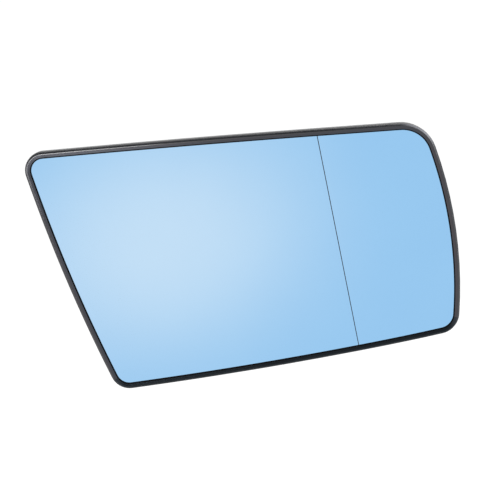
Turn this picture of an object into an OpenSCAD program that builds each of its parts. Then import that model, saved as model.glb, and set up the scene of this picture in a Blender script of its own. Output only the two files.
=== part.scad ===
// Right-hand door mirror glass: a heated convex pane with an aspheric outer zone, in a moulded carrier
// that clips on to a round hub. Millimetres, +X to the outer end, +Z up, and the glass looks along -Y.
// The origin is the centre of the ring of hooks that hold the glass to its hub.

/* [Glass] */
// Radius of the convex main zone
main_r = 1400; // [1200:10:2000]
// Thickness of the glass
glass_t = 2; // [1.6:0.1:2.4]
// Place of the zone line, from the clip's centre
zone_x = 37.7; // [30:0.1:46]
// Extra fall of the aspheric zone at its outer end
zone_fall = 1.8; // [0:0.1:2.6]
// Width of the zone line
line_w = 0.3; // [0.2:0.05:0.5]
// Depth of the zone line
line_d = 0.1; // [0.05:0.05:0.2]

/* [Outline] */
// Reach of the rim above the clip's centre, square to the top edge
top_reach = 50; // [46:0.1:56]
// Fall of the top edge towards the outer end, in degrees
top_tilt = 7.2; // [4:0.1:10]
// Bow radius of the top edge
top_bow_r = 3800; // [2000:50:6000]
// Reach of the rim towards the inner end, square to the inner edge
inner_reach = 78.9; // [74:0.1:86]
// Lean of the inner edge, in degrees
inner_tilt = 11.3; // [8:0.1:14]
// Bow radius of the inner edge
inner_bow_r = 780; // [500:10:1500]
// Reach of the rim below the clip's centre, square to the bottom edge
bottom_reach = 53.1; // [50:0.1:58]
// Rise of the bottom edge towards the inner end, in degrees
bottom_tilt = 1.7; // [0:0.1:4]
// Bow radius of the bottom edge
bottom_bow_r = 2800; // [1500:50:6000]
// Reach of the rim towards the outer end, square to the outer edge
outer_reach = 88.9; // [84:0.1:96]
// Lean of the outer edge, in degrees
outer_tilt = 1.5; // [0:0.1:3]
// Bow radius of the outer edge
outer_bow_r = 188; // [160:1:300]
// Corner radius at the top of the inner end
top_inner_r = 8; // [6:0.1:12]
// Corner radius at the bottom of the inner end
bottom_inner_r = 8.4; // [6:0.1:12]
// Corner radius at the bottom of the outer end
bottom_outer_r = 9; // [6:0.1:14]
// Corner radius at the top of the outer end
top_outer_r = 15.6; // [10:0.1:20]

/* [Rim] */
// Width of the lip, seen from the front
lip_w = 2.7; // [2.4:0.1:3.2]
// Cover of the lip over the edge of the glass
lip_cover = 1; // [0.7:0.1:1.2]
// Height of the lip's crest above the glass
crest_h = 1; // [0.8:0.1:1.4]
// Height of the bevel at the lip's inner edge
lip_edge_h = 0.6; // [0.5:0.05:0.7]
// Width of the bevel at the lip's inner edge
lip_bevel = 0.45; // [0.1:0.05:0.6]
// Depth of the rim behind the face of the glass
rim_depth = 7.6; // [6.8:0.1:8.2]
// Play round the edge of the glass
edge_play = 0.15; // [0.1:0.05:0.25]
// Play between the lip and the face of the glass
lip_play = 0.05; // [0.03:0.01:0.1]

/* [Plate] */
// Thickness of the back plate
plate_t = 1.8; // [1.4:0.1:2.2]
// Thickness of the ribs
rib_t = 1.2; // [0.8:0.1:1.6]
// Height of the ribs behind the plate
rib_h = 2; // [1.2:0.1:2.6]
// Distance of the loop rib from the rim's outside
loop_inset = 13; // [9:0.5:14]

/* [Clip ring] */
// Inner radius of the clip ring
ring_r = 27; // [25:0.1:28]
// Wall of the clip ring
ring_t = 1.8; // [1.4:0.1:2.2]
// Height of the clip ring behind the plate
ring_h = 8; // [7:0.1:10]
// Number of snap fingers
finger_count = 6; // [5:1:8]
// Arc of one snap finger, in degrees
finger_arc = 25; // [22:1:28]
// Arc of the slot on each side of a finger, in degrees
slot_arc = 3; // [2:0.5:4]
// Height of a finger's root above the plate
finger_root = 1.2; // [0.8:0.1:2]
// Reach of a hook inside the ring
hook_reach = 1.6; // [1:0.1:2]
// Length of a hook's land
land_l = 1.6; // [1.2:0.1:2]
// Length of a hook's lead-in
lead_l = 1.2; // [0.8:0.1:1.6]
// Length of a hook's holding ramp
hold_l = 1; // [0.6:0.1:1.4]
// Set-back of a finger's end from the ring's end face
finger_drop = 0.3; // [0.2:0.1:0.6]
// Width of the key that stops the glass from turning
key_w = 3; // [2:0.1:4]
// Reach of the key inside the ring
key_reach = 1.1; // [0.6:0.1:1.4]

/* [Heater] */
// Thickness of the heating foil
foil_t = 0.4; // [0.2:0.05:0.6]
// Margin of the foil inside the edge of the glass
foil_margin = 1.5; // [0.5:0.1:3]
// Place of the terminal window across the plate, from the clip's centre
window_x = -46; // [-48:0.5:-44]
// Place of the terminal window up the plate, from the clip's centre
window_z = -7; // [-9:0.5:-4]
// Width of the terminal window
window_w = 21; // [19:0.5:23]
// Height of the terminal window
window_h = 12; // [11:0.5:14]
// Width of a terminal's blade
blade_w = 6.3; // [4.8:0.1:6.3]
// Thickness of a terminal
blade_t = 0.8; // [0.5:0.1:0.8]
// Length of a terminal's blade
blade_l = 8; // [6:0.1:9]
// Length of a terminal's foot
foot_l = 7; // [6:0.1:8]
// Distance between the two terminals
blade_pitch = 10; // [8:0.1:11]
// Radius of a rivet's shank
rivet_r = 0.9; // [0.7:0.05:1.1]
// Radius of a rivet's head
rivet_head_r = 1.7; // [1.4:0.1:2]
// Height of a rivet's head
rivet_head_t = 0.5; // [0.3:0.1:0.7]

/* [Hidden] */
$fn = 64;
overrun = 1;

// Greatest length of one straight step along the edges, and greatest turn of one step in a corner
edge_step = 8;
corner_turn = 9;
// Greatest distance between two lines of the curved surface in the main zone and in the outer zone
main_step = 8;
zone_step = 4;
// Fineness of a large revolved surface
skin_fn = 720;

// Rounding of the lip's edges, and the rim's step, draft and foot
lip_round = 0.25;
crest_in = 1.3;
crest_out = 0.8;
crest_round = 0.35;
shoulder_in = 0.2;
shoulder_h = 0.35;
shoulder_round = 0.3;
step_h = 2.4;
step_in = 0.2;
rim_draft = 0.15;
foot_round = 0.3;
round_steps = 2;
// Height of the gussets beside the ring, their length, and the rounded end of a blade
gusset_h = 5;
gusset_l = 5;
blade_chamfer = 1;
blade_hole_r = 0.8;
blade_hole_share = 0.62;

// Depths of the layers behind the face of the glass
foil_front = glass_t;
plate_front = foil_front + foil_t;
plate_back = plate_front + plate_t;
// Ends of the clip ring and of the whole, along Y
seat_y = land_l / 2 + lead_l + finger_drop;
plate_back_y = seat_y - ring_h;
face_y = plate_back_y - plate_back;
axis_y = face_y + main_r;
zone_span = outer_reach - zone_x;
glass_inset = lip_w - lip_cover;
wall_in = glass_inset - edge_play;
plate_inset = wall_in / 2;
rib_inset = wall_in * 3 / 4;
hook_r = ring_r - hook_reach;
finger_pitch = 360 / finger_count;

// The sides, anticlockwise from the top: direction of the outward normal, reach and bow radius
SIDES = [
    [90 - top_tilt, top_reach, top_bow_r],
    [180 + inner_tilt, inner_reach, inner_bow_r],
    [270 - bottom_tilt, bottom_reach, bottom_bow_r],
    [360 + outer_tilt, outer_reach, outer_bow_r]
];
// The radius of the corner that follows each side
CORNERS = [top_inner_r, bottom_inner_r, bottom_outer_r, top_outer_r];

function unit(a) = [cos(a), sin(a)];
function next(i) = (i + 1) % len(SIDES);
function last(i) = (i + len(SIDES) - 1) % len(SIDES);
// The angle a, turned by whole circles until it lies nearest to b
function turned_near(a, b) = b + ((a - b) % 360 + 540) % 360 - 180;
function direction(v) = atan2(v[1], v[0]);

// The meeting point of two circles that lies to the left of the way from a to b
function meeting(a, ra, b, rb) =
    let (d = norm(b - a))
    let (along = (b - a) / d)
    let (t = (ra * ra - rb * rb + d * d) / (2 * d))
    a + t * along + sqrt(ra * ra - t * t) * [-along[1], along[0]];

// A corner's circle touches both of its sides from within. A line far inside the outline has larger
// corners than a parallel of it, so each corner takes an extra radius.
function side_centre(i) = (SIDES[i][1] - SIDES[i][2]) * unit(SIDES[i][0]);
function corner_centre(i, extra) =
    let (r = CORNERS[i] + extra)
    meeting(side_centre(i), SIDES[i][2] - r, side_centre(next(i)), SIDES[next(i)][2] - r);
function touch_angle(side, corner, extra) =
    turned_near(direction(corner_centre(corner, extra) - side_centre(side)), SIDES[side][0]);

// Stations along an arc, each with the arc's centre and radius and the direction outwards
function arc_stations(c, r, from, to, steps) =
    [for (k = [0 : steps - 1]) [c, r, from + (to - from) * k / steps]];
function side_stations(i, extra) =
    let (from = touch_angle(i, last(i), extra), to = touch_angle(i, i, extra))
    let (length = SIDES[i][2] * (to - from) * PI / 180)
    arc_stations(side_centre(i), SIDES[i][2], from, to, ceil(length / edge_step));
function corner_stations(i, extra) =
    let (from = touch_angle(i, i, extra))
    let (to = turned_near(touch_angle(next(i), i, extra), from + 90))
    arc_stations(corner_centre(i, extra), CORNERS[i] + extra, from, to, ceil((to - from) / corner_turn));
function stations(extra) =
    [for (i = [0 : len(SIDES) - 1]) each concat(side_stations(i, extra), corner_stations(i, extra))];
STATIONS = stations(0);

// The outline's point at a station, moved inwards, and the outline as a whole
function outline_point(s, inset) = s[0] + (s[1] - inset) * unit(s[2]);
function outline(inset, extra = 0) =
    [for (s = extra > 0 ? stations(extra) : STATIONS) outline_point(s, inset)];
RIM = outline(0);
x_from = min([for (p = RIM) p[0]]) - overrun;
x_to = max([for (p = RIM) p[0]]) + overrun;
z_reach = max([for (p = RIM) abs(p[1])]) + overrun;

// The glass face turns about a level axis behind it: its distance from that axis at x, and its
// place along Y at x and z, raised by h towards the front
function zone_drop(x) = x > zone_x ? zone_fall * pow((x - zone_x) / zone_span, 3) : 0;
function crown_r(x) = sqrt(main_r * main_r - x * x) - zone_drop(x);
function skin_y(x, z, h) = axis_y - sqrt(pow(crown_r(x) + h, 2) - z * z);
function rim_point(s, inset, h) =
    let (p = outline_point(s, inset))
    [p[0], skin_y(p[0], p[1], h), p[1]];

// The corner b of the line a, b, c, rounded with radius r
function rounded(a, b, c, r) =
    let (u = (a - b) / norm(a - b), v = (c - b) / norm(c - b))
    let (half = acos(u * v) / 2)
    let (reach = r / tan(half), centre = b + (u + v) / norm(u + v) * r / sin(half))
    let (from = direction(b + u * reach - centre))
    let (to = turned_near(direction(b + v * reach - centre), from))
    [for (k = [0 : round_steps]) centre + r * unit(from + (to - from) * k / round_steps)];
// A closed section from corners [inset, height, radius]
function section(corners) =
    let (n = len(corners))
    [for (i = [0 : n - 1])
        let (a = corners[(i + n - 1) % n], b = corners[i], c = corners[(i + 1) % n])
        each b[2] > 0
            ? rounded([a[0], a[1]], [b[0], b[1]], [c[0], c[1]], b[2])
            : [[b[0], b[1]]]];

// The rim's section: inset from the outline, height over the glass face, rounding
RIM_SECTION = section([
    [lip_w, lip_play, 0],
    [lip_w - lip_bevel, lip_edge_h, lip_round],
    [crest_in, crest_h, crest_round],
    [crest_out, crest_h, crest_round],
    [shoulder_in, shoulder_h, shoulder_round],
    [0, -shoulder_h, 0],
    [0, -step_h, 0],
    [step_in, -step_h - step_in, 0],
    [step_in + rim_draft, -rim_depth, foot_round],
    [wall_in, -rim_depth, foot_round],
    [wall_in, lip_play, 0]
]);

// A closed ring with this section, carried along the outline on the curved surface
module swept_rim() {
    n = len(STATIONS);
    m = len(RIM_SECTION);
    points = [for (s = STATIONS) each [for (q = RIM_SECTION) rim_point(s, q[0], q[1])]];
    faces = [for (i = [0 : n - 1]) each [for (j = [0 : m - 1])
        let (a = i * m + j, b = i * m + (j + 1) % m)
        let (c = (i + 1) % n * m + (j + 1) % m, d = (i + 1) % n * m + j)
        each [[a, c, b], [a, d, c]]]];
    polyhedron(points = points, faces = faces);
}

// Everything inside the outline, moved inwards
module slab(inset, extra = 0) {
    depth = seat_y + overrun - (face_y - crest_h - overrun);
    translate([0, seat_y + overrun, 0])
        rotate([90, 0, 0])
            linear_extrude(height = depth)
                polygon(outline(inset, extra));
}

// The layer between two heights over the glass face
module skin_layer(front, back) {
    main_steps = ceil((zone_x - x_from) / main_step);
    zone_steps = ceil((x_to - zone_x) / zone_step);
    xs = concat(
        [for (k = [0 : main_steps - 1]) x_from + (zone_x - x_from) * k / main_steps],
        [for (k = [0 : zone_steps]) zone_x + (x_to - zone_x) * k / zone_steps]);
    n = len(xs);
    half_turn = 2 * asin(z_reach / main_r);
    profile = concat(
        [for (x = xs) [crown_r(x) + front, x]],
        [for (k = [1 : n]) [crown_r(xs[n - k]) + back, xs[n - k]]]);
    translate([0, axis_y, 0])
        rotate([0, 90, 0])
            rotate_extrude(angle = 2 * half_turn, start = -90 - half_turn, $fn = skin_fn)
                polygon(profile);
}

// A block of the given width and height round x and z, as deep as the whole
module post(x, z, w, h) {
    depth = seat_y + overrun - face_y + crest_h + overrun;
    translate([x - w / 2, face_y - crest_h - overrun, z - h / 2])
        cube([w, depth, h]);
}

// A round column along Y
module column(x, z, r) {
    depth = seat_y + overrun - face_y + crest_h + overrun;
    translate([x, seat_y + overrun, z])
        rotate([90, 0, 0])
            cylinder(r = r, h = depth);
}

// One part of the ring round the clip's axis, from its section [radius, place along Y]
module ring_arc(points, from, arc) {
    rotate([-90, 0, 0])
        rotate_extrude(angle = arc, start = from)
            polygon(points);
}

module back_plate() {
    intersection() {
        slab(plate_inset);
        skin_layer(-plate_front, -plate_back);
    }
}

// Radial ribs between the fingers, the loop rib and the frame of the terminal window
module ribs() {
    rib_reach = x_to - x_from;
    intersection() {
        slab(rib_inset);
        skin_layer(-plate_back + plate_t / 2, -plate_back - rib_h);
        union() {
            difference() {
                for (k = [0 : finger_count - 1])
                    rotate([0, (k + 1 / 2) * finger_pitch, 0])
                        translate([ring_r + ring_t / 2, face_y - crest_h, -rib_t / 2])
                            cube([rib_reach, ring_h + plate_back + crest_h, rib_t]);
                post(window_x, window_z, window_w + rib_t, window_h + rib_t);
            }
            difference() {
                slab(loop_inset, loop_inset);
                slab(loop_inset + rib_t, loop_inset);
            }
            post(window_x, window_z, window_w + 2 * rib_t, window_h + 2 * rib_t);
        }
    }
}

// The ring's wall, cut free on both sides of each finger
module ring_wall() {
    root_y = plate_back_y - plate_t / 2;
    slot_y = plate_back_y + finger_root;
    finger_end_y = seat_y - finger_drop;
    difference() {
        ring_arc([[ring_r, root_y], [ring_r + ring_t, root_y], [ring_r + ring_t, seat_y],
            [ring_r, seat_y]], 0, 360);
        for (k = [0 : finger_count - 1]) {
            middle = k * finger_pitch;
            for (from = [middle - finger_arc / 2 - slot_arc, middle + finger_arc / 2])
                ring_arc([[ring_r - overrun, slot_y], [ring_r + ring_t + overrun, slot_y],
                    [ring_r + ring_t + overrun, seat_y + overrun], [ring_r - overrun, seat_y + overrun]],
                    from, slot_arc);
            ring_arc([[ring_r - overrun, finger_end_y], [ring_r + ring_t + overrun, finger_end_y],
                [ring_r + ring_t + overrun, seat_y + overrun], [ring_r - overrun, seat_y + overrun]],
                middle - (finger_arc + slot_arc) / 2, finger_arc + slot_arc);
        }
    }
}

// The hooks inside the fingers: a lead-in, a land and a holding ramp
module hooks() {
    hook_arc = finger_arc - slot_arc / 2;
    for (k = [0 : finger_count - 1])
        ring_arc([[ring_r + ring_t / 2, -land_l / 2 - hold_l], [ring_r, -land_l / 2 - hold_l],
            [hook_r, -land_l / 2], [hook_r, land_l / 2], [ring_r, land_l / 2 + lead_l],
            [ring_r + ring_t / 2, land_l / 2 + lead_l]],
            k * finger_pitch - hook_arc / 2, hook_arc);
}

// Gussets that stiffen the ring between the fingers
module gussets() {
    root_y = plate_back_y - plate_t / 2;
    for (k = [0 : finger_count - 1])
        rotate([0, (k + 1 / 2) * finger_pitch, 0])
            translate([0, 0, -rib_t / 2])
                linear_extrude(height = rib_t)
                    polygon([[ring_r + ring_t / 2, root_y],
                        [ring_r + ring_t + gusset_l, root_y],
                        [ring_r + ring_t + gusset_l, plate_back_y + rib_h / 2],
                        [ring_r + ring_t, plate_back_y + gusset_h],
                        [ring_r + ring_t / 2, plate_back_y + gusset_h]]);
}

// The key inside the ring, between the two fingers nearest its top
module key() {
    root_y = plate_back_y - plate_t / 2;
    turn = (round(270 / finger_pitch - 1 / 2) + 1 / 2) * finger_pitch;
    rotate([0, turn, 0])
        translate([ring_r - key_reach, root_y, -key_w / 2])
            cube([key_reach + ring_t / 2, seat_y - root_y, key_w]);
}

// Rim, back plate, ribs and clip ring in one moulding
module carrier() {
    color("#3c3c40") {
        union() {
            swept_rim();
            difference() {
                union() {
                    back_plate();
                    ribs();
                    gussets();
                }
                post(window_x, window_z, window_w, window_h);
            }
            ring_wall();
            hooks();
            key();
        }
    }
}

// The pane, with the fine line that marks the outer zone
module mirror_glass() {
    color("#9cc9ee") {
        difference() {
            intersection() {
                slab(glass_inset);
                skin_layer(0, -glass_t);
            }
            intersection() {
                post(zone_x, 0, line_w, 2 * z_reach);
                skin_layer(overrun, -line_d);
            }
        }
    }
}

function terminal_x(side) = window_x + side * blade_pitch / 2;
function foot_back_y(side) = skin_y(terminal_x(side), window_z, -plate_front - blade_t);

module heater_foil() {
    color("#26262a") {
        difference() {
            intersection() {
                slab(glass_inset + foil_margin);
                skin_layer(-foil_front, -plate_front);
            }
            for (side = [-1, 1])
                column(terminal_x(side), window_z, rivet_r);
        }
    }
}

// A riveted foot that follows the foil, and a blade that stands on its upper edge
module terminal(side) {
    x = terminal_x(side);
    blade_z = window_z + foot_l / 2 - blade_t;
    root_y = skin_y(x, blade_z, -plate_front - blade_t / 2);
    tip_y = foot_back_y(side) + blade_l;
    hole_y = root_y + (tip_y - root_y) * blade_hole_share;
    color("#c9a24b") {
        union() {
            difference() {
                intersection() {
                    post(x, window_z, blade_w, foot_l);
                    skin_layer(-plate_front, -plate_front - blade_t);
                }
                column(x, window_z, rivet_r);
            }
            difference() {
                translate([0, 0, blade_z])
                    linear_extrude(height = blade_t)
                        polygon([[x - blade_w / 2, root_y], [x + blade_w / 2, root_y],
                            [x + blade_w / 2, tip_y - blade_chamfer],
                            [x + blade_w / 2 - blade_chamfer, tip_y],
                            [x - blade_w / 2 + blade_chamfer, tip_y],
                            [x - blade_w / 2, tip_y - blade_chamfer]]);
                translate([x, hole_y, blade_z - overrun])
                    cylinder(r = blade_hole_r, h = blade_t + 2 * overrun);
            }
        }
    }
}

module heater_terminal_left() {
    terminal(-1);
}

module heater_terminal_right() {
    terminal(1);
}

// Each rivet's shank fills the foot and the foil, and its head lies on the foot
module terminal_rivets() {
    head_back = plate_front + blade_t + rivet_head_t;
    color("#d8d8dc") {
        for (side = [-1, 1]) {
            union() {
                intersection() {
                    column(terminal_x(side), window_z, rivet_r);
                    skin_layer(-foil_front, -head_back);
                }
                intersection() {
                    column(terminal_x(side), window_z, rivet_head_r);
                    skin_layer(-plate_front - blade_t, -head_back);
                }
            }
        }
    }
}

carrier();
mirror_glass();
heater_foil();
heater_terminal_left();
heater_terminal_right();
terminal_rivets();
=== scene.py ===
import math

import bmesh
import bpy
from mathutils import Matrix, Vector
from mathutils.geometry import delaunay_2d_cdt
from mathutils.kdtree import KDTree


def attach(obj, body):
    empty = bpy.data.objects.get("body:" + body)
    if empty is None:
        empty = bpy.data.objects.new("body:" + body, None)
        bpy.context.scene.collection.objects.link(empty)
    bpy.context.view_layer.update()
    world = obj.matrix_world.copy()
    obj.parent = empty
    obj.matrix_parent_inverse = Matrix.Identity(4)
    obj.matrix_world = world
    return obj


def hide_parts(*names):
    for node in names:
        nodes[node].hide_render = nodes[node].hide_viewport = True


# Right-hand door mirror glass in its carrier: convex blue pane, dark rim, clip ring and heater terminals.
# Sizes of the glass, its outline and the rim are in millimetres, as in the part's source, and MM turns
# them into the frame's metres.

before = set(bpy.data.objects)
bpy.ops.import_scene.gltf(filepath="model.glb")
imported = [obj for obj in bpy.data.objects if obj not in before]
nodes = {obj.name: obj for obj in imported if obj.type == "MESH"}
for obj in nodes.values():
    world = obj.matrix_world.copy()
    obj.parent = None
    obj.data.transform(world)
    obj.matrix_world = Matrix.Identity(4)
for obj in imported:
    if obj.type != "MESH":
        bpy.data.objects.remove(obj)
scene = bpy.context.scene
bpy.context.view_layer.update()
MM = 0.001

# Radius and thickness of the glass, the outer zone's place and fall, the line that marks the zone, and
# the place of the face and of the axis that it turns about, along Y
MAIN_R = 1400.0
GLASS_T = 2.0
ZONE_X = 37.7
ZONE_FALL = 1.8
LINE_W = 0.3
LINE_D = 0.1
FACE_Y = -9.9
AXIS_Y = FACE_Y + MAIN_R

# The sides, anticlockwise from the top: direction of the outward normal in degrees, reach and bow radius
SIDES = [
    (82.8, 50.0, 3800.0),
    (191.3, 78.9, 780.0),
    (268.3, 53.1, 2800.0),
    (361.5, 88.9, 188.0),
]
# The radius of the corner that follows each side
CORNERS = [8.0, 8.4, 9.0, 15.6]
OUTER_REACH = SIDES[-1][1]
ZONE_SPAN = OUTER_REACH - ZONE_X

# The rim's section: insets from the outline and heights over the glass face
GLASS_INSET = 1.7
LIP_W = 2.7
LIP_BEVEL = 0.45
LIP_EDGE_H = 0.6
CREST_OUT = 0.8
CREST_H = 1.0
SHOULDER_H = 0.35
STEP_H = 2.4
# Width of the dark line that the lip's shade draws on the glass
SHADE_W = 0.12

# Steps along the outline, in millimetres on its sides and in degrees in its corners
RIM_STEPS = (0.4, 1.0)
CREST_STEPS = (0.5, 1.0)
PANE_STEPS = (1.5, 3.0)


# Camera: angles in degrees, distance in metres, lens and sensor in millimetres
CAMERA = {"azimuth": 2.0, "elevation": 12.0, "roll": 11.9, "distance": 0.7167, "lens": 120.0}
SENSOR = 36.0
CLIP_NEAR = 0.05
CLIP_FAR = 200.0
# The photograph's side and centre, and the lens's length, all in the photograph's pixels
PHOTO_SIDE = 500
PHOTO_CENTRE = PHOTO_SIDE / 2
FOCAL = PHOTO_SIDE * CAMERA["lens"] / SENSOR
HALF_PIXEL = CAMERA["distance"] / FOCAL / 2
TARGET = Vector((0, FACE_Y * MM, 0))


def camera_axes():
    """Directions to the right, up and back to the camera."""
    azimuth, elevation, roll = (math.radians(CAMERA[k]) for k in ("azimuth", "elevation", "roll"))
    back = Vector((math.sin(azimuth) * math.cos(elevation), -math.cos(azimuth) * math.cos(elevation),
                   math.sin(elevation)))
    level = Vector((math.cos(azimuth), math.sin(azimuth), 0))
    upright = back.cross(level)
    right = level * math.cos(roll) - upright * math.sin(roll)
    up = level * math.sin(roll) + upright * math.cos(roll)
    return right, up, back


def placed(centre, right, up, back):
    """The matrix of a thing at centre whose own axes have these directions."""
    return Matrix.Translation(centre) @ Matrix((right, up, back)).transposed().to_4x4()


cam_right, cam_up, cam_back = camera_axes()
eye = TARGET + cam_back * CAMERA["distance"] + (cam_up - cam_right) * HALF_PIXEL
cam_data = bpy.data.cameras.new("camera")
cam_data.lens = CAMERA["lens"]
cam_data.sensor_width = SENSOR
cam_data.clip_start = CLIP_NEAR
cam_data.clip_end = CLIP_FAR
camera = bpy.data.objects.new("camera", cam_data)
scene.collection.objects.link(camera)
camera.matrix_world = placed(eye, cam_right, cam_up, cam_back)
scene.camera = camera


# Outline of the glass, in millimetres
def unit(angle):
    return Vector((math.cos(angle), math.sin(angle)))


def near(angle, other):
    """The angle, turned by whole circles until it lies nearest to the other."""
    return other + (angle - other + math.pi) % (2 * math.pi) - math.pi


def meeting(a, ra, b, rb):
    """The meeting point of two circles that lies to the left of the way from a to b."""
    d = (b - a).length
    along = (b - a) / d
    t = (ra * ra - rb * rb + d * d) / (2 * d)
    return a + along * t + Vector((-along.y, along.x)) * math.sqrt(ra * ra - t * t)


def arc(centre, radius, start, end, steps):
    """Points of an arc without its last one, in at least two steps."""
    steps = max(2, math.ceil(steps))
    return [centre + unit(start + (end - start) * k / steps) * radius for k in range(steps)]


def outline(inset, edge_step, corner_step):
    """Points of the outline moved inwards, anticlockwise, with steps in mm and degrees."""
    count = len(SIDES)
    directions = [math.radians(direction) for direction, _, _ in SIDES]
    bows = [bow for _, _, bow in SIDES]
    centres = [unit(direction) * (reach - bow) for direction, (_, reach, bow) in zip(directions, SIDES)]
    corners = []
    for i, r in enumerate(CORNERS):
        j = (i + 1) % count
        corners.append(meeting(centres[i], bows[i] - r, centres[j], bows[j] - r))

    def touch(side, corner):
        """The direction from a side's centre to where a corner touches that side."""
        v = corners[corner] - centres[side]
        return near(math.atan2(v.y, v.x), directions[side])

    points = []
    for i, r in enumerate(CORNERS):
        start = touch(i, i - 1)
        end = touch(i, i)
        turned = near(touch((i + 1) % count, i), end + math.pi / 2)
        points += arc(centres[i], bows[i] - inset, start, end, bows[i] * (end - start) / edge_step)
        points += arc(corners[i], r - inset, end, turned, math.degrees(turned - end) / corner_step)
    return points


def crown_r(x):
    """Distance of the glass face from its axis at x."""
    drop = ZONE_FALL * ((x - ZONE_X) / ZONE_SPAN) ** 3 if x > ZONE_X else 0.0
    return math.sqrt(MAIN_R * MAIN_R - x * x) - drop


def skin(x, z, height=0.0):
    """Point of the glass face at x and z, raised towards the front, in metres."""
    y = AXIS_Y - math.sqrt((crown_r(x) + height) ** 2 - z * z)
    return Vector((x, y, z)) * MM


def skin_normal(x, z):
    """Outward normal of the glass face."""
    step = 0.01
    across = skin(x + step, z) - skin(x - step, z)
    upwards = skin(x, z + step) - skin(x, z - step)
    return across.cross(upwards).normalized()


# Nodes. The Mix node's sockets share their names, so they are told apart by number.
MIX_FACTOR = 0
MIX_NUMBER_A = 2
MIX_NUMBER_B = 3
MIX_COLOUR_A = 6
MIX_COLOUR_B = 7
MIX_NUMBER_OUT = 0
MIX_COLOUR_OUT = 2
# Most of a noise's values lie between these two
NOISE_RANGE = (0.3, 0.7)


def bare_material(name):
    """A material with nothing but its output, and the socket that takes its surface."""
    mat = bpy.data.materials.new(name)
    mat.use_nodes = True
    nt = mat.node_tree
    nt.nodes.clear()
    out = nt.nodes.new("ShaderNodeOutputMaterial")
    return mat, nt, out.inputs["Surface"]


def shaded(name):
    """A material with one shader, and the place on the piece that its patterns follow."""
    mat, nt, surface = bare_material(name)
    shader = nt.nodes.new("ShaderNodeBsdfPrincipled")
    nt.links.new(shader.outputs["BSDF"], surface)
    place = nt.nodes.new("ShaderNodeTexCoord")
    return mat, nt, shader, place.outputs["Object"]


def noise(nt, place, scale, detail=3.0, rough=0.55, stretch=None):
    tex = nt.nodes.new("ShaderNodeTexNoise")
    tex.inputs["Scale"].default_value = scale
    tex.inputs["Detail"].default_value = detail
    tex.inputs["Roughness"].default_value = rough
    if stretch:
        mapping = nt.nodes.new("ShaderNodeMapping")
        mapping.inputs["Scale"].default_value = stretch
        nt.links.new(place, mapping.inputs["Vector"])
        place = mapping.outputs["Vector"]
    nt.links.new(place, tex.inputs["Vector"])
    return tex.outputs["Fac"]


def spread(nt, value, low, high, out_low=0.0, out_high=1.0):
    """The value, laid out from low and high to out_low and out_high."""
    node = nt.nodes.new("ShaderNodeMapRange")
    node.inputs["From Min"].default_value = low
    node.inputs["From Max"].default_value = high
    node.inputs["To Min"].default_value = out_low
    node.inputs["To Max"].default_value = out_high
    nt.links.new(value, node.inputs["Value"])
    return node.outputs["Result"]


def maths(nt, operation, *values):
    """The result of a sum on sockets and plain numbers."""
    node = nt.nodes.new("ShaderNodeMath")
    node.operation = operation
    for socket, value in zip(node.inputs, values):
        if isinstance(value, (int, float)):
            socket.default_value = value
        else:
            nt.links.new(value, socket)
    return node.outputs[0]


def mix(nt, fac, a, b):
    """Colour a where fac is 0, b where it is 1."""
    node = nt.nodes.new("ShaderNodeMix")
    node.data_type = "RGBA"
    nt.links.new(fac, node.inputs[MIX_FACTOR])
    node.inputs[MIX_COLOUR_A].default_value = (*a, 1)
    node.inputs[MIX_COLOUR_B].default_value = (*b, 1)
    return node.outputs[MIX_COLOUR_OUT]


def blend(nt, fac, a, b):
    """Number a where fac is 0, b where it is 1."""
    node = nt.nodes.new("ShaderNodeMix")
    nt.links.new(fac, node.inputs[MIX_FACTOR])
    nt.links.new(a, node.inputs[MIX_NUMBER_A])
    nt.links.new(b, node.inputs[MIX_NUMBER_B])
    return node.outputs[MIX_NUMBER_OUT]


def paint(nt, shader, fac, a, b):
    """Base colour a where fac is 0, b where it is 1."""
    nt.links.new(mix(nt, fac, a, b), shader.inputs["Base Color"])


def gloss(nt, shader, pattern, low, high):
    """Roughness from low to high after a noise."""
    nt.links.new(spread(nt, pattern, *NOISE_RANGE, low, high), shader.inputs["Roughness"])


def bump(nt, shader, height, strength, distance):
    node = nt.nodes.new("ShaderNodeBump")
    node.inputs["Strength"].default_value = strength
    node.inputs["Distance"].default_value = distance
    nt.links.new(height, node.inputs["Height"])
    nt.links.new(node.outputs["Normal"], shader.inputs["Normal"])


def moulded(nt, shader, place, low, high):
    """The mould's fine spark-eroded grain, with slightly uneven gloss between two roughnesses."""
    gloss(nt, shader, noise(nt, place, 140.0, 5.0, 0.6), low, high)
    bump(nt, shader, noise(nt, place, 2600.0, 2.0, 0.5), 0.35, 0.00003)


def sheen(shader, level, tint=(1.0, 1.0, 1.0)):
    """Strength and tint of the reflection."""
    shader.inputs["Specular IOR Level"].default_value = level
    shader.inputs["Specular Tint"].default_value = (*tint, 1)


# Materials
def plastic():
    """Black-grey moulded plastic."""
    mat, nt, shader, place = shaded("dark_plastic")
    tone = spread(nt, noise(nt, place, 60.0, 4.0), *NOISE_RANGE)
    paint(nt, shader, tone, (0.0075, 0.008, 0.009), (0.0105, 0.011, 0.0125))
    moulded(nt, shader, place, 0.26, 0.34)
    sheen(shader, 0.9, (0.82, 0.855, 1.0))
    return mat


def painted_shade_edge():
    """Painted shade: the lip's bevel against the glass and a thin ring of the glass beside it, dull and
    black where the lip's shade and its reflection fall.
    """
    mat, nt, shader, place = shaded("lip_bevel")
    tone = noise(nt, place, 700.0)
    paint(nt, shader, tone, (0.003, 0.003, 0.0035), (0.006, 0.006, 0.0065))
    gloss(nt, shader, tone, 0.55, 0.7)
    sheen(shader, 0.05)
    return mat


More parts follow.
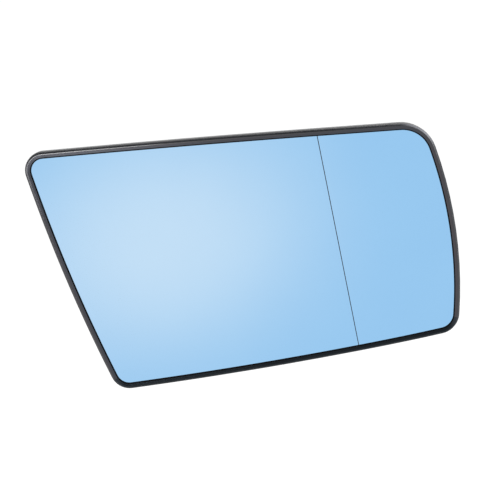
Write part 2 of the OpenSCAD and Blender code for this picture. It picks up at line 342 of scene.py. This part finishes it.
def painted_shade_band():
    """Painted shade: the rim's side before the step in a darker, duller copy of the plastic with a
    coarser grain, for the dark band that the side shows there.
    """
    mat, nt, shader, place = shaded("rim_side_painted_shade")
    tone = noise(nt, place, 300.0, 4.0)
    paint(nt, shader, tone, (0.006, 0.0065, 0.007), (0.01, 0.0105, 0.0115))
    gloss(nt, shader, tone, 0.5, 0.62)
    bump(nt, shader, noise(nt, place, 1800.0, 3.0, 0.6), 0.5, 0.00004)
    sheen(shader, 0.6)
    return mat


def polished_crest():
    """The lip's crest, rubbed smooth: the same plastic with a tighter gloss."""
    mat, nt, shader, place = shaded("lip_crest")
    tone = noise(nt, place, 500.0)
    paint(nt, shader, tone, (0.0075, 0.008, 0.009), (0.0105, 0.011, 0.0125))
    gloss(nt, shader, tone, 0.18, 0.24)
    sheen(shader, 1.0)
    return mat


def painted_shade_lip(name, level):
    """Painted shade: a darker, duller copy of the plastic for the lip along the lower side, which the
    photograph shows nearly black.
    """
    mat, nt, shader, place = shaded(name)
    paint(nt, shader, noise(nt, place, 60.0, 4.0), (0.005, 0.0064, 0.008), (0.0078, 0.0092, 0.0115))
    moulded(nt, shader, place, 0.3, 0.38)
    sheen(shader, level, (0.66, 0.83, 1.0))
    return mat


def blue_mirror():
    """Blue coating on polished glass, with the faintest cloudiness in tint and gloss."""
    mat, nt, shader, place = shaded("blue_mirror")
    tint = spread(nt, noise(nt, place, 25.0, 2.0), *NOISE_RANGE)
    paint(nt, shader, tint, (0.308, 0.574, 0.866), (0.316, 0.584, 0.873))
    shader.inputs["Metallic"].default_value = 1.0
    gloss(nt, shader, noise(nt, place, 90.0, 4.0), 0.03, 0.045)
    return mat


def line_dark():
    """The scribed line: dark, dull and slightly uneven."""
    mat, nt, shader, place = shaded("scribed_line")
    worn = noise(nt, place, 900.0)
    paint(nt, shader, worn, (0.012, 0.016, 0.022), (0.03, 0.04, 0.05))
    shader.inputs["Roughness"].default_value = 0.6
    bump(nt, shader, worn, 0.3, 0.00002)
    return mat


def foil_film():
    """Dark heating film: the printed track shows through as fine raised bands."""
    mat, nt, shader, place = shaded("heater_film")
    wave = nt.nodes.new("ShaderNodeTexWave")
    wave.wave_type = "BANDS"
    wave.bands_direction = "Z"
    wave.inputs["Scale"].default_value = 130.0
    wave.inputs["Distortion"].default_value = 0.0
    nt.links.new(place, wave.inputs["Vector"])
    band = spread(nt, wave.outputs["Fac"], 0.35, 0.65)
    paint(nt, shader, band, (0.018, 0.018, 0.02), (0.045, 0.04, 0.036))
    gloss(nt, shader, noise(nt, place, 300.0), 0.3, 0.45)
    bump(nt, shader, band, 0.4, 0.00005)
    return mat


def metal(name, dark, light, smooth, rough, grain_stretch):
    """Rolled metal with a fine grain along one direction."""
    mat, nt, shader, place = shaded(name)
    tone = spread(nt, noise(nt, place, 400.0, 4.0), *NOISE_RANGE)
    paint(nt, shader, tone, dark, light)
    shader.inputs["Metallic"].default_value = 1.0
    grain = noise(nt, place, 1200.0, 3.0, 0.6, grain_stretch)
    gloss(nt, shader, grain, smooth, rough)
    bump(nt, shader, grain, 0.2, 0.00002)
    return mat


PLASTIC = plastic()
PAINTED_SHADE_EDGE = painted_shade_edge()
PAINTED_SHADE_BAND = painted_shade_band()
CREST = polished_crest()
PAINTED_SHADE_LOWER_TURN = painted_shade_lip("lip_lower_turn_painted_shade", 0.54)
PAINTED_SHADE_LOWER_LIP = painted_shade_lip("lip_lower_painted_shade", 0.32)
CARRIER_MATERIALS = [PLASTIC, PAINTED_SHADE_EDGE, PAINTED_SHADE_BAND, CREST, PAINTED_SHADE_LOWER_TURN, PAINTED_SHADE_LOWER_LIP]
MIRROR = blue_mirror()
LINE = line_dark()
PANE_MATERIALS = [MIRROR, LINE, PAINTED_SHADE_EDGE]
FILM = foil_film()
BRASS = metal("tinned_brass", (0.55, 0.4, 0.17), (0.72, 0.53, 0.25), 0.23, 0.39, (1, 0.08, 1))
STEEL = metal("rivet_steel", (0.5, 0.5, 0.52), (0.66, 0.66, 0.68), 0.21, 0.37, (1, 1, 1))


# Pieces
def add(name, mesh, materials, node):
    """A piece that rides with the part and stands for one CAD node."""
    piece = bpy.data.objects.new(name, mesh)
    scene.collection.objects.link(piece)
    for material in materials:
        mesh.materials.append(material)
    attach(piece, "root")
    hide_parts(node)
    return piece


def rim_place(points):
    """Inset from the outline and height over the glass face of each point, and how far the rim there
    looks down: 1 at the bottom, -1 at the top."""
    line = outline(0, *RIM_STEPS)
    nearest = KDTree(len(line))
    for i, p in enumerate(line):
        nearest.insert((p.x, p.y, 0), i)
    nearest.balance()
    found = []
    for point in points:
        x, y, z = point / MM
        _, i, inset = nearest.find((x, z, 0))
        along = line[(i + 1) % len(line)] - line[i - 1]
        found.append((inset, skin(x, z).y / MM - y, along.x / along.length))
    return found


# The pane's inner points: distance from each other, from the line and from the pane's ends
PANE_STEP = 3.0
LINE_CLEAR = 1.0
END_CLEAR = 0.4
# Steps up the line, and width of its slanting sides
LINE_STEPS = 30
LINE_SIDE = 0.02
LINE_EDGES = (ZONE_X - LINE_W / 2, ZONE_X + LINE_W / 2)
LINE_SLACK = 0.001
SHADE_IN = LIP_W + SHADE_W
# Least share of a face's normal along the surface's own that makes it part of the front or back
ALONG_SKIN = 0.99


def chord(rim, x):
    """Lowest and highest place of the rim at x."""
    heights = []
    for i, p in enumerate(rim):
        q = rim[(i + 1) % len(rim)]
        if min(p.x, q.x) <= x <= max(p.x, q.x) and p.x != q.x:
            heights.append(p.y + (q.y - p.y) * (x - p.x) / (q.x - p.x))
    return min(heights), max(heights)


def pane_plan():
    """The pane seen from the front, cut into triangles: its points and its triangles."""
    rim = outline(GLASS_INSET, *PANE_STEPS)
    points = []
    edges = []

    def add_ring(ring):
        start = len(points)
        points.extend(Vector((p.x, p.y)) for p in ring)
        edges.extend((start + i, start + (i + 1) % len(ring)) for i in range(len(ring)))

    def column(x, steps):
        low, high = chord(rim, x)
        return [Vector((x, low + (high - low) * k / steps)) for k in range(steps + 1)]

    add_ring(rim)
    line_xs = [LINE_EDGES[0] - LINE_SIDE, LINE_EDGES[0], LINE_EDGES[1], LINE_EDGES[1] + LINE_SIDE]
    for x in line_xs:
        start = len(points)
        points += column(x, LINE_STEPS)
        edges += [(start + k, start + k + 1) for k in range(LINE_STEPS)]
    low_x = min(p.x for p in rim)
    high_x = max(p.x for p in rim)
    for k in range(1, int((high_x - low_x) / PANE_STEP) + 1):
        x = low_x + PANE_STEP * k
        clear = min(abs(x - v) for v in line_xs) >= LINE_CLEAR
        if clear and low_x + END_CLEAR < x < high_x - END_CLEAR:
            low, high = chord(rim, x)
            steps = max(1, int((high - low) / PANE_STEP))
            points += column(x, steps)[1:-1]
    add_ring(outline(SHADE_IN, *PANE_STEPS))
    flat, _, triangles, _, _, _ = delaunay_2d_cdt(points, edges, [list(range(len(rim)))], 1, 1e-5)
    return flat, triangles


def outward_face(bm, verts, outward, smooth):
    """A new face, turned to look outwards."""
    face = bm.faces.new(verts)
    face.normal_update()
    if face.normal.dot(outward) < 0:
        face.normal_flip()
    face.smooth = smooth
    return face


def pane_normals(mesh, flat):
    """The exact normal of the surface at each corner of the front and back, and flat edges."""
    normals = []
    for face in mesh.polygons:
        for vertex in face.vertices:
            normal = face.normal.copy()
            if face.use_smooth:
                p = flat[vertex % len(flat)]
                exact = skin_normal(p.x, p.y)
                facing = normal.dot(exact)
                if abs(facing) > ALONG_SKIN:
                    normal = exact * math.copysign(1, facing)
            normals.append(tuple(normal))
    return normals


def glass_pane():
    """The pane as one smooth convex surface with exact normals, and the line cut into its front."""
    flat, triangles = pane_plan()
    count = len(flat)
    in_line = [LINE_EDGES[0] - LINE_SLACK <= p.x <= LINE_EDGES[1] + LINE_SLACK for p in flat]
    centres = [skin(*(flat[a] + flat[b] + flat[c]) / 3) for a, b, c in triangles]
    mesh = bpy.data.meshes.new("glass_pane")
    bm = bmesh.new()
    for p, sunk in zip(flat, in_line):
        bm.verts.new(skin(p.x, p.y, -LINE_D if sunk else 0.0))
    for p in flat:
        bm.verts.new(skin(p.x, p.y, -GLASS_T))
    bm.verts.ensure_lookup_table()
    uses = {}
    for triangle, (inset, _, _) in zip(triangles, rim_place(centres)):
        front = outward_face(bm, [bm.verts[i] for i in triangle], Vector((0, -1, 0)), True)
        # Painted shade: the ring of the glass next to the lip gets the black material, for the lip's
        # shade and reflection on it
        if inset < SHADE_IN:
            front.material_index = PANE_MATERIALS.index(PAINTED_SHADE_EDGE)
        elif all(in_line[i] for i in triangle):
            front.material_index = PANE_MATERIALS.index(LINE)
        outward_face(bm, [bm.verts[i + count] for i in triangle], Vector((0, 1, 0)), True)
        for i, j in zip(triangle, triangle[1:] + triangle[:1]):
            edge = (min(i, j), max(i, j))
            uses[edge] = uses.get(edge, 0) + 1
    for (i, j), used in uses.items():
        if used == 1:
            out = flat[i] + flat[j]
            outward_face(bm, (bm.verts[i], bm.verts[j], bm.verts[j + count], bm.verts[i + count]),
                         Vector((out.x, 0, out.y)), False)
    bm.to_mesh(mesh)
    bm.free()
    mesh.normals_split_custom_set(pane_normals(mesh, flat))
    return add("glass_pane", mesh, PANE_MATERIALS, "mirror_glass")


# Corners of a CAD mesh nearer than this are one, and faces that meet at a smaller angle are one
SAME_PLACE = 0.000002
SAME_PLANE = math.radians(0.4)
# Least angle of an edge that is rounded
ROUNDED_ANGLE = math.radians(50)


def softened(name, node, materials, angle, bevel):
    """The CAD node's shape with shared corners, smooth curves and slightly rounded edges."""
    mesh = nodes[node].data.copy()
    mesh.name = name
    mesh.materials.clear()
    bm = bmesh.new()
    bm.from_mesh(mesh)
    bmesh.ops.remove_doubles(bm, verts=bm.verts, dist=SAME_PLACE)
    bmesh.ops.dissolve_limit(bm, angle_limit=SAME_PLANE, verts=bm.verts, edges=bm.edges)
    for face in bm.faces:
        face.smooth = True
    for edge in bm.edges:
        edge.smooth = len(edge.link_faces) == 2 and edge.calc_face_angle(0) < math.radians(angle)
    bm.to_mesh(mesh)
    bm.free()
    if "custom_normal" in mesh.attributes:
        mesh.attributes.remove(mesh.attributes["custom_normal"])
    piece = add(name, mesh, materials, node)
    if bevel:
        rounding = piece.modifiers.new("edges", "BEVEL")
        rounding.width = bevel
        rounding.segments = 2
        rounding.limit_method = "ANGLE"
        rounding.angle_limit = ROUNDED_ANGLE
    weighted = piece.modifiers.new("normals", "WEIGHTED_NORMAL")
    weighted.keep_sharp = True
    return piece


# Where each finish lies on the rim. The bevel's faces and the crest's are found by their middles.
BEVEL_FROM = LIP_W - LIP_BEVEL + 0.03
BEVEL_LOW = -0.2
BAND_IN = 0.3
BAND_LOW = -STEP_H - 0.05
CREST_FROM = 0.68
CREST_TO = 0.96
CREST_LOW = 0.88
# The lip takes the darker copy of the plastic, painted shade, where the rim looks down by the first
# share, and is dullest from the second on
TURN_FROM = 0.4
TURN_TO = 0.8


def rim_finish(inset, height, down):
    """The material of a face at this place on the rim."""
    # Painted shade: the lip's bevel against the glass is black
    if inset > BEVEL_FROM and BEVEL_LOW < height < LIP_EDGE_H:
        return PAINTED_SHADE_EDGE
    # Painted shade: the rim's side before the step gets the darker band
    if inset < BAND_IN and BAND_LOW < height < SHOULDER_H:
        return PAINTED_SHADE_BAND
    # Painted shade: the lip along the lower side gets the darker copies of the plastic
    if inset < LIP_W and height >= SHOULDER_H and down > TURN_FROM:
        return PAINTED_SHADE_LOWER_LIP if down > TURN_TO else PAINTED_SHADE_LOWER_TURN
    if CREST_FROM < inset < CREST_TO and height > CREST_LOW:
        return CREST
    return PLASTIC


def moulded_carrier():
    """The carrier, with the finishes that the rim's parts have."""
    piece = softened("moulded_carrier", "carrier", CARRIER_MATERIALS, 38, 0.0001)
    faces = piece.data.polygons
    for face, place in zip(faces, rim_place([face.center for face in faces])):
        face.material_index = CARRIER_MATERIALS.index(rim_finish(*place))
    return piece


glass_pane()
carrier = moulded_carrier()
softened("film", "heater_foil", [FILM], 30, 0.0)
softened("blade_left", "heater_terminal_left", [BRASS], 30, 0.00008)
softened("blade_right", "heater_terminal_right", [BRASS], 30, 0.00008)
softened("rivets", "terminal_rivets", [STEEL], 30, 0.00012)


# World and floor. Brightness as the camera sees it, as it lights the part, and as the part mirrors it.
CAMERA_RAY = ("Is Camera Ray",)
MIRRORED = ("Is Glossy Ray", "Is Transmission Ray")
ROOM_LIGHT = 0.6
# The mirrored studio is white up to the first height and dim from the second on. A height is the
# upward part of the way out, and the lean lets the front count as higher.
CEILING_FROM = 0.27
CEILING_TO = 0.6
CEILING_DIM = 0.16
CEILING_LEAN = -0.3
# The floor, in metres, its tone, what the camera's view of it adds, and how it dims towards the back
FLOOR_REACH = 60.0
FLOOR_Z = -0.8
FLOOR_TONE = 0.82
FLOOR_LIFT = 0.55
FLOOR_DIM_FROM = 0.3
FLOOR_DIM_TO = 2.5
FLOOR_DIM = 0.4


def ray_share(nt, kinds):
    """1 for the rays of these kinds, else 0."""
    path = nt.nodes.new("ShaderNodeLightPath")
    share = path.outputs[kinds[0]]
    for kind in kinds[1:]:
        share = maths(nt, "MAXIMUM", share, path.outputs[kind])
    return share


def place_parts(nt, output):
    """The separate parts of a texture coordinate."""
    place = nt.nodes.new("ShaderNodeTexCoord")
    parts = nt.nodes.new("ShaderNodeSeparateXYZ")
    nt.links.new(place.outputs[output], parts.inputs["Vector"])
    return parts.outputs


def studio():
    """A white studio to the camera, and a room with a dim ceiling in what the part mirrors."""
    world = bpy.data.worlds.new("studio")
    scene.world = world
    world.use_nodes = True
    nt = world.node_tree
    nt.nodes.clear()
    out = nt.nodes.new("ShaderNodeOutputWorld")
    sky = nt.nodes.new("ShaderNodeBackground")
    sky.inputs["Color"].default_value = (1, 1, 1, 1)
    way = place_parts(nt, "Generated")
    height = maths(nt, "MULTIPLY_ADD", way["Y"], CEILING_LEAN, way["Z"])
    ceiling = spread(nt, height, CEILING_FROM, CEILING_TO, 1.0, CEILING_DIM)
    direct = spread(nt, ray_share(nt, CAMERA_RAY), 0, 1, ROOM_LIGHT, 1.0)
    nt.links.new(blend(nt, ray_share(nt, MIRRORED), direct, ceiling), sky.inputs["Strength"])
    nt.links.new(sky.outputs[0], out.inputs["Surface"])


def floor():
    """A plain pale floor that keeps the part's shadow, and is mirrored white."""
    mesh = bpy.data.meshes.new("floor")
    mesh.from_pydata([(-FLOOR_REACH, -FLOOR_REACH, FLOOR_Z), (FLOOR_REACH, -FLOOR_REACH, FLOOR_Z),
                      (FLOOR_REACH, FLOOR_REACH, FLOOR_Z), (-FLOOR_REACH, FLOOR_REACH, FLOOR_Z)],
                     [], [(0, 1, 2, 3)])
    obj = bpy.data.objects.new("floor", mesh)
    scene.collection.objects.link(obj)
    mat, nt, surface = bare_material("floor")
    dull = nt.nodes.new("ShaderNodeBsdfDiffuse")
    dull.inputs["Color"].default_value = (FLOOR_TONE, FLOOR_TONE, FLOOR_TONE, 1)
    lift = nt.nodes.new("ShaderNodeEmission")
    nt.links.new(spread(nt, ray_share(nt, CAMERA_RAY), 0, 1, 0.0, FLOOR_LIFT), lift.inputs["Strength"])
    both = nt.nodes.new("ShaderNodeAddShader")
    nt.links.new(dull.outputs[0], both.inputs[0])
    nt.links.new(lift.outputs[0], both.inputs[1])
    white = nt.nodes.new("ShaderNodeEmission")
    back = place_parts(nt, "Object")["Y"]
    nt.links.new(spread(nt, back, FLOOR_DIM_FROM, FLOOR_DIM_TO, 1.0, FLOOR_DIM), white.inputs["Strength"])
    choice = nt.nodes.new("ShaderNodeMixShader")
    nt.links.new(ray_share(nt, MIRRORED), choice.inputs[0])
    nt.links.new(both.outputs[0], choice.inputs[1])
    nt.links.new(white.outputs[0], choice.inputs[2])
    nt.links.new(choice.outputs[0], surface)
    mesh.materials.append(mat)


studio()
floor()


# The large soft light that the glass mirrors. It is brightest where the camera's ray through one point
# of the picture goes on to, shifted a little, and falls off to the white of the studio.
GLOW_AT = (165, 232)
GLOW_DISTANCE = 1.2
GLOW_SHIFT = (0.0164, -0.0153)
GLOW_SIZE = (1.3, 1.0)
# How far the glow reaches along its two axes, their turn in degrees, its power and its peak
GLOW_REACH = (0.279, 0.210)
GLOW_TURN = -4.0
GLOW_POWER = 2.35
GLOW_PEAK = (1.753, 1.277, 1.062)
# Rounds in which the meeting point of a ray and the glass is found
RAY_ROUNDS = 20


def reflected(px, py):
    """Where the camera's ray through a picture point meets the glass, and the way it goes on."""
    across = (px - PHOTO_CENTRE) / FOCAL
    down = (py - PHOTO_CENTRE) / FOCAL
    ray = (-cam_back + cam_right * across - cam_up * down).normalized()
    t = CAMERA["distance"]
    for _ in range(RAY_ROUNDS):
        p = (eye + ray * t) / MM
        t += (skin(p.x, p.z).y - p.y * MM) / ray.y
    p = (eye + ray * t) / MM
    n = skin_normal(p.x, p.z)
    return eye + ray * t, (ray - n * 2 * ray.dot(n)).normalized()


def glow():
    """Emission that falls off as a soft oval from its peak to white."""
    mat, nt, surface = bare_material("soft_light")
    place = nt.nodes.new("ShaderNodeTexCoord")
    scaled = nt.nodes.new("ShaderNodeMapping")
    scaled.vector_type = "TEXTURE"
    scaled.inputs["Rotation"].default_value = (0, 0, math.radians(GLOW_TURN))
    scaled.inputs["Scale"].default_value = (*GLOW_REACH, 1)
    nt.links.new(place.outputs["Object"], scaled.inputs["Vector"])
    far = nt.nodes.new("ShaderNodeVectorMath")
    far.operation = "LENGTH"
    nt.links.new(scaled.outputs["Vector"], far.inputs[0])
    fall = maths(nt, "POWER", math.exp(-1), maths(nt, "POWER", far.outputs["Value"], GLOW_POWER))
    light = nt.nodes.new("ShaderNodeEmission")
    nt.links.new(mix(nt, fall, (1, 1, 1), GLOW_PEAK), light.inputs["Color"])
    nt.links.new(light.outputs[0], surface)
    return mat


def soft_light():
    """The glow on a card that shows only in reflections."""
    spot, way = reflected(*GLOW_AT)
    facing = -way
    side = Vector((0, 0, 1)).cross(facing).normalized()
    upright = facing.cross(side)
    centre = spot + way * GLOW_DISTANCE + side * GLOW_SHIFT[0] + upright * GLOW_SHIFT[1]
    mesh = bpy.data.meshes.new("soft_light")
    x = GLOW_SIZE[0] / 2
    y = GLOW_SIZE[1] / 2
    mesh.from_pydata([(-x, -y, 0), (x, -y, 0), (x, y, 0), (-x, y, 0)], [], [(0, 1, 2, 3)])
    mesh.materials.append(glow())
    obj = bpy.data.objects.new("soft_light", mesh)
    scene.collection.objects.link(obj)
    obj.matrix_world = placed(centre, side, upright, facing)
    obj.visible_camera = False
    obj.visible_diffuse = False
    obj.visible_transmission = False
    obj.visible_shadow = False


soft_light()


# Narrow soft lights for the carrier alone, which draw fine bright lines along the lip. Their distance
# from the lip and their width are in metres, and their spread is in degrees.
GLINT_DISTANCE = 0.14
GLINT_WIDTH = 0.11
GLINT_SPREAD = 50.0
# Picture points along the crest, from the upper left corner along the top, and round the upper right
TOP_CREST = (
    (27, 178), (28, 169), (31, 160), (36, 154), (44, 150),
    (100, 146), (155, 142), (220, 138), (300, 134), (400, 128),
)
CORNER_CREST = ((404, 121), (413, 124), (421, 130), (427, 137), (431, 144), (435, 153))
# Each row is the tilt in degrees of the surface that shines, the points, and the radiance between two
GLINT_ROWS = (
    (15, TOP_CREST, (8, 10, 13, 14, 16, 12, 2, 1.4, 0.9)),
    (-24, TOP_CREST[1:8], (0.9, 1.1, 1.3, 1.1, 0.8, 0.3)),
    (30, CORNER_CREST, (3.5, 4.2, 4.6, 4.6, 3.8)),
)


def glint(px, py, tilt):
    """The crest's place at a picture point, and where a light shines from there back to the camera, off a
    surface turned outwards by tilt."""
    line = outline(CREST_OUT, *CREST_STEPS)

    def miss(i):
        """Distance in the picture of a point of the crest."""
        seen = skin(*line[i], CREST_H) - eye
        scale = FOCAL / -seen.dot(cam_back)
        return math.hypot(PHOTO_CENTRE + scale * seen.dot(cam_right) - px,
                          PHOTO_CENTRE - scale * seen.dot(cam_up) - py)

    i = min(range(len(line)), key=miss)
    p = line[i]
    along = line[(i + 1) % len(line)] - line[i - 1]
    spot = skin(p.x, p.y, CREST_H)
    front = skin_normal(p.x, p.y)
    outward = Vector((along.y, 0, -along.x))
    outward = (outward - front * outward.dot(front)).normalized()
    n = front * math.cos(tilt) + outward * math.sin(tilt)
    way = (eye - spot).normalized()
    return spot, spot + (n * 2 * n.dot(way) - way) * GLINT_DISTANCE


def area_light(name, shape, size, size_y, power, matrix):
    data = bpy.data.lights.new(name, "AREA")
    data.shape = shape
    data.size = size
    data.size_y = size_y
    data.energy = power
    obj = bpy.data.objects.new(name, data)
    scene.collection.objects.link(obj)
    obj.matrix_world = matrix
    return obj


def crest_light(first, second, tilt, radiance, receivers):
    """A light as long as the way between two picture points, mirrored in the lip."""
    spot_a, a = glint(*first, tilt)
    spot_b, b = glint(*second, tilt)
    middle = (a + b) / 2
    away = (middle - (spot_a + spot_b) / 2).normalized()
    upright = away.cross(b - a).normalized()
    length = (b - a).length
    half = math.radians(GLINT_SPREAD / 2)
    # A narrow spread makes the light brighter, so its power is less by the same share
    gain = math.tan(half) / (math.tan(half) - half)
    power = radiance * math.pi * length * GLINT_WIDTH / gain
    obj = area_light("crest_light", "RECTANGLE", length, GLINT_WIDTH, power,
                     placed(middle, upright.cross(away), upright, away))
    obj.data.spread = 2 * half
    obj.visible_camera = False
    obj.visible_diffuse = False
    obj.light_linking.receiver_collection = receivers


def lamp(name, place, size, power, mirrored):
    """A round lamp that looks at the part."""
    turn = place.to_track_quat("Z", "Y").to_matrix().to_4x4()
    obj = area_light(name, "DISK", size, size, power, Matrix.Translation(place) @ turn)
    obj.visible_glossy = mirrored


carrier_only = bpy.data.collections.new("carrier_only")
carrier_only.objects.link(carrier)
for tilt, points, radiances in GLINT_ROWS:
    for first, second, radiance in zip(points, points[1:], radiances):
        crest_light(first, second, math.radians(tilt), radiance, carrier_only)
lamp("lamp_top", Vector((-0.5, -0.5, 1.5)), 1.0, 22, False)
lamp("lamp_back", Vector((0.95, 0.6, 0.75)), 1.6, 22, True)

scene.view_settings.view_transform = "Standard"
